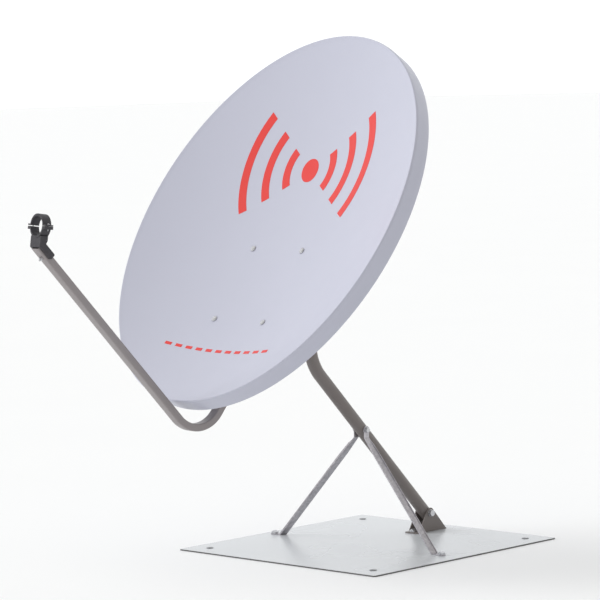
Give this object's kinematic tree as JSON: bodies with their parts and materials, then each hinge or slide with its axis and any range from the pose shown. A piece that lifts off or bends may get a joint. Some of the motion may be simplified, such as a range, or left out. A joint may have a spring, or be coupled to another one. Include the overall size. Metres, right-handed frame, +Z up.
{
  "type": "satellite dish",
  "caption": "Offset oval dish on a bent mast with two struts and a square base plate, with a J-shaped feed arm and an empty split feed ring.",
  "frame": {"origin": "centre of the base plate's underside, where the stand rests on the floor", "axes": "+Z up, -Y the way the dish faces before its azimuth is set, +X to the right seen from behind the dish"},
  "size_m": [0.8367, 1.1546, 1.1223],
  "materials": {
    "reflector_paint": "satin powder coat",
    "mount_paint": "satin powder coat",
    "arm_paint": "satin powder coat",
    "strut_steel": "galvanised, satin",
    "plate_paint": "satin powder coat",
    "dark_screw": "dull zinc",
    "zinc_steel": "bright zinc",
    "black_plastic": "fine moulded texture",
    "grey_plastic": "fine moulded texture"
  },
  "bodies": {
    "stand": {"base_plate": "plate_paint", "base_plate_screw_1": "dark_screw", "base_plate_screw_2": "dark_screw", "base_plate_screw_3": "dark_screw", "base_plate_screw_4": "dark_screw", "foot_anchor_bolt_front": "zinc_steel", "foot_anchor_bolt_rear": "zinc_steel", "foot_bracket": "mount_paint", "foot_pivot_bolt": "zinc_steel", "foot_pivot_nut": "zinc_steel", "mast_top_cap": "grey_plastic", "mast_tube": "mount_paint", "strut_foot_bolt_left": "zinc_steel", "strut_foot_bolt_right": "zinc_steel", "strut_left": "strut_steel", "strut_right": "strut_steel", "strut_top_bolt": "zinc_steel", "strut_top_nut": "zinc_steel"},
    "azimuth_head": {"clamp_bolt_lower_left": "zinc_steel", "clamp_bolt_lower_right": "zinc_steel", "clamp_bolt_upper_left": "zinc_steel", "clamp_bolt_upper_right": "zinc_steel", "clamp_bracket": "mount_paint", "clamp_nut_lower_left": "zinc_steel", "clamp_nut_lower_right": "zinc_steel", "clamp_nut_upper_left": "zinc_steel", "clamp_nut_upper_right": "zinc_steel", "elevation_lock_bolt_left": "zinc_steel", "elevation_lock_bolt_right": "zinc_steel", "elevation_lock_nut_left": "zinc_steel", "elevation_lock_nut_right": "zinc_steel", "mast_saddle_lower": "mount_paint", "mast_saddle_upper": "mount_paint"},
    "dish": {"arm_bolt_1": "zinc_steel", "arm_bolt_2": "zinc_steel", "arm_nut_1": "zinc_steel", "arm_nut_2": "zinc_steel", "elevation_pivot_bolt": "zinc_steel", "elevation_pivot_nut": "zinc_steel", "feed_arm": "arm_paint", "feed_arm_end_plug": "grey_plastic", "feed_holder": "black_plastic", "feed_holder_bolt": "zinc_steel", "feed_holder_nut": "zinc_steel", "rear_bracket": "mount_paint", "reflector": "reflector_paint", "reflector_bolt_lower_left": "zinc_steel", "reflector_bolt_lower_right": "zinc_steel", "reflector_bolt_upper_left": "zinc_steel", "reflector_bolt_upper_right": "zinc_steel", "reflector_nut_lower_left": "zinc_steel", "reflector_nut_lower_right": "zinc_steel", "reflector_nut_upper_left": "zinc_steel", "reflector_nut_upper_right": "zinc_steel"},
    "feed_cap": {"cap_screw_left": "zinc_steel", "cap_screw_right": "zinc_steel", "feed_clamp_cap": "black_plastic"}
  },
  "joints": [
    {"name": "azimuth", "type": "hinge", "parent": "stand", "child": "azimuth_head", "pos_m": [-0.011, -0.1527, 0.6], "axis": [0, 0, 1], "range_deg": [-90, 90]},
    {"name": "elevation", "type": "hinge", "parent": "azimuth_head", "child": "dish", "pos_m": [-0.01727, -0.21237, 0.625], "axis": [-0.9945, 0.1045, 0], "range_deg": [-35, 11]},
    {"name": "feed_cap_lift", "type": "slide", "parent": "dish", "child": "feed_cap", "axis": [0.0154, 0.147, 0.989], "range_m": [0, 0.006]}
  ]
}
